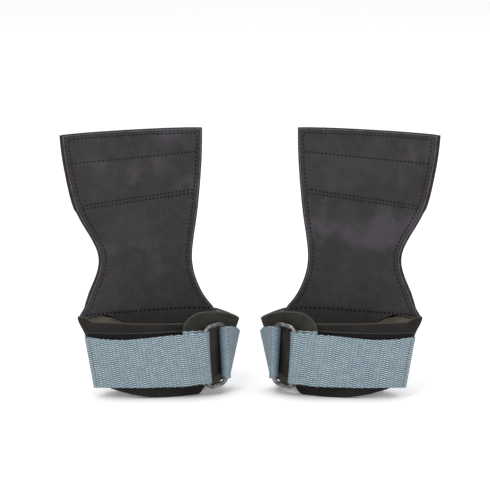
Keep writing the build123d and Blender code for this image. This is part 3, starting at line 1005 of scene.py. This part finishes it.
def build_webbing(name, side):
    cuff, tab, strap = f"{name}_cuff", f"{name}_tab", f"{name}_strap"
    strip = Webbing(strap_arcs)
    fold = strip.fold(1)

    def strap_edges(run):
        """Edges that rise towards the ring, and a little more in the layer that lies under."""
        at = run - fold
        low = [(-90, 8.4), (-76, 9.1), (-54, 9.1), (-31, 9.7), (-7, 10.9), (0, 11.4), (9, 11.8), (26, 12.8)]
        high = [(-90, 48.2), (-76, 47.1), (-54, 47.6), (-31, 49.7), (-7, 51.5), (0, 51.9), (9, 52.2), (26, 53.0)]
        return curve(low, at), curve(high, at)

    piece = webbing_piece(f"{name}_strap_webbing", side, strip, strap_edges, FINISHES["webbing"], fold, 0.25)
    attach(piece, strap)
    finish_piece([f"{name}_wrist_strap"])
    rows = {"tan_thread": [], "grey_thread": []}
    for finish, run in (("tan_thread", 3.5), ("grey_thread", fold - 9.5), ("grey_thread", fold - 6.5)):
        low, high = strap_edges(run)
        up = np.linspace(low + 1.2, high - 1.2, 100)
        line, normal = strip.point(np.full(100, run), up, np.full(100, WEB_THICK / 2 + 0.05))
        picks = along(np.concatenate([line, normal], -1), 2.6)
        rows[finish].append(stitch_row(picks[:, :3], picks[:, 3:], 2.1, 0.3, lift=0.1))
    for finish, made in rows.items():
        piece = thread_piece(f"{name}_strap_{finish}", side, made, FINISHES[finish])
        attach(piece, strap)
        finish_piece()

    keeper = Webbing(keeper_arcs)
    turn_back = keeper.fold(-1)

    def keeper_edges(run):
        """Edges that are highest at the ring and fall to the crease on both layers."""
        at = run - turn_back
        low = [(-60, 8.6), (-24, 9.0), (-14, 10.8), (0, 12.7), (12, 11.2), (24, 8.9)]
        high = [(-60, 46.6), (-24, 47.2), (-14, 50.4), (0, 53.2), (12, 52.0), (24, 47.2)]
        return curve(low, at), curve(high, at)

    piece = webbing_piece(f"{name}_keeper_webbing", side, keeper, keeper_edges, FINISHES["webbing"],
                          turn_back, 0.6)
    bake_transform(piece)
    finish_piece([f"{name}_ring_keeper", f"{name}_anchor_strap"])

    hook = band_piece(f"{name}_hook_tape", side, wall_part(0.60, 0.245), lambda t: (13.5 + 0 * t, 45.0 + 0 * t), 48.0,
                      (7.2, 8.15), FINISHES["hook_tape"], 0.4, 1.0)
    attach(hook, strap)
    finish_piece([f"{name}_hook_patch"])


def build_ring(name, side):
    """Wire bent to a rounded rectangle: a circle carried along a path of straights and quarter circles.

    The path lies in the plane of the two upright wires, and its frame is that plane's normal and the path's
    own outward side."""
    (left_low, right_low), (left_high, _) = wires()
    lean = (left_high - left_low) / (WEB_HIGH - WEB_LOW)
    up = np.array([lean[0], lean[1], 1.0]) / math.sqrt(1 + lean @ lean)
    across = np.append(right_low - left_low, 0.0)
    square = across - up * (across @ up)
    width = np.linalg.norm(square)
    square /= width
    normal = np.cross(square, up)
    middle = left_low + lean * (RING_MIDDLE - WEB_LOW)
    centre = np.append(middle, RING_MIDDLE) + across / 2
    half_x, half_y = width / 2 - RING_CORNER, RING_HEIGHT / 2 - RING_CORNER
    turn = np.linspace(0, np.pi / 2, 9)
    angle = np.concatenate([turn + quarter for quarter in (0, np.pi / 2, np.pi, 1.5 * np.pi)])
    cx, cy = half_x * np.repeat([1, -1, -1, 1], 9), half_y * np.repeat([1, 1, -1, -1], 9)
    outward = np.cos(angle)[:, None] * square + np.sin(angle)[:, None] * up
    path = centre + (cx[:, None] * square + cy[:, None] * up) + RING_CORNER * outward
    around = np.linspace(0, 2 * np.pi, 20, endpoint=False)
    ring = outward[:, None] * np.cos(around)[None, :, None] + normal * np.sin(around)[None, :, None]
    points = path[:, None] + WIRE_RADIUS * ring
    rows, columns = points.shape[:2]
    number = np.arange(rows * columns).reshape(rows, columns)
    ahead, beside = np.roll(number, -1, 0), np.roll(number, -1, 1)
    faces = np.stack([number, ahead, np.roll(ahead, -1, 1), beside], -1).reshape(-1, 4)
    vertices = into_frame(points.reshape(-1, 3), side)
    piece = make_piece(f"{name}_wire_ring", vertices, faces, FINISHES["ring_steel"])
    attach(piece, f"{name}_ring")
    finish_piece([f"{name}_buckle_ring"])


for grip, way in SIDES.items():
    build_cuff(grip, way)
    build_flap(grip, way)
    build_webbing(grip, way)
    build_ring(grip, way)


# ---- floor, light and camera


def floor_sheet():
    """Pale sweep: flat, then rising at the back in a quarter circle."""
    y = np.concatenate([[-4.0, 3.0], 3.0 + 2.0 * np.sin(np.linspace(0.1, 1.57, 16))])
    z = np.concatenate([[0.0, 0.0], 2.0 - 2.0 * np.cos(np.linspace(0.1, 1.57, 16))])
    line = np.stack([y, z], -1)
    points = np.concatenate([np.column_stack([np.full(len(y), x), line]) for x in (-5.0, 5.0)])
    faces = grid_faces(2, len(y))[:, ::-1].tolist()
    mesh = bpy.data.meshes.new("floor")
    mesh.from_pydata(points.tolist(), [], faces)
    mesh.polygons.foreach_set("use_smooth", np.ones(len(mesh.polygons), bool))
    f = Finish("floor_paper", 0.9)
    mesh.materials.append(f.show(f.blend(f.noise(3.0), (0.93, 0.93, 0.935, 1), (0.95, 0.95, 0.95, 1))))
    return add_object("floor", mesh)


def area_light(name, place, aim, size, power):
    light = bpy.data.lights.new(name, "AREA")
    light.shape, light.size, light.size_y = "RECTANGLE", size[0], size[1]
    light.energy = power
    made = add_object(name, light)
    made.location = place
    made.rotation_euler = (Vector(aim) - Vector(place)).to_track_quat("-Z", "Y").to_euler()


floor_sheet()
world = bpy.data.worlds.new("studio")
bpy.context.scene.world = world
world.use_nodes = True
sky = world.node_tree.nodes["Background"]
sky.inputs["Color"].default_value = (1.0, 1.0, 1.0, 1.0)
sky.inputs["Strength"].default_value = 0.85
area_light("key", (-0.9, -1.6, 2.0), (0, 0, 0.08), (1.4, 1.4), 26.0)
area_light("fill", (1.4, -1.4, 1.1), (0, 0, 0.1), (1.6, 1.2), 10.0)
area_light("top", (0.0, 0.5, 2.2), (0, 0, 0.1), (1.8, 1.2), 16.0)

CAMERA_FAR, CAMERA_RISE, AIM_Z = 2.5, math.radians(12), 0.1151
VIEW_WIDTH = 0.3724
camera = add_object("camera", bpy.data.cameras.new("camera"))
camera.location = (0, -CAMERA_FAR * math.cos(CAMERA_RISE), AIM_Z + CAMERA_FAR * math.sin(CAMERA_RISE))
camera.rotation_euler = (math.pi / 2 - CAMERA_RISE, 0, 0)
camera.data.sensor_width = 36.0
camera.data.lens = 36.0 * CAMERA_FAR / VIEW_WIDTH
camera.data.shift_x = -5.0 / 490.0
camera.data.clip_end = 50.0
bpy.context.scene.camera = camera
bpy.context.scene.view_settings.view_transform = "Standard"
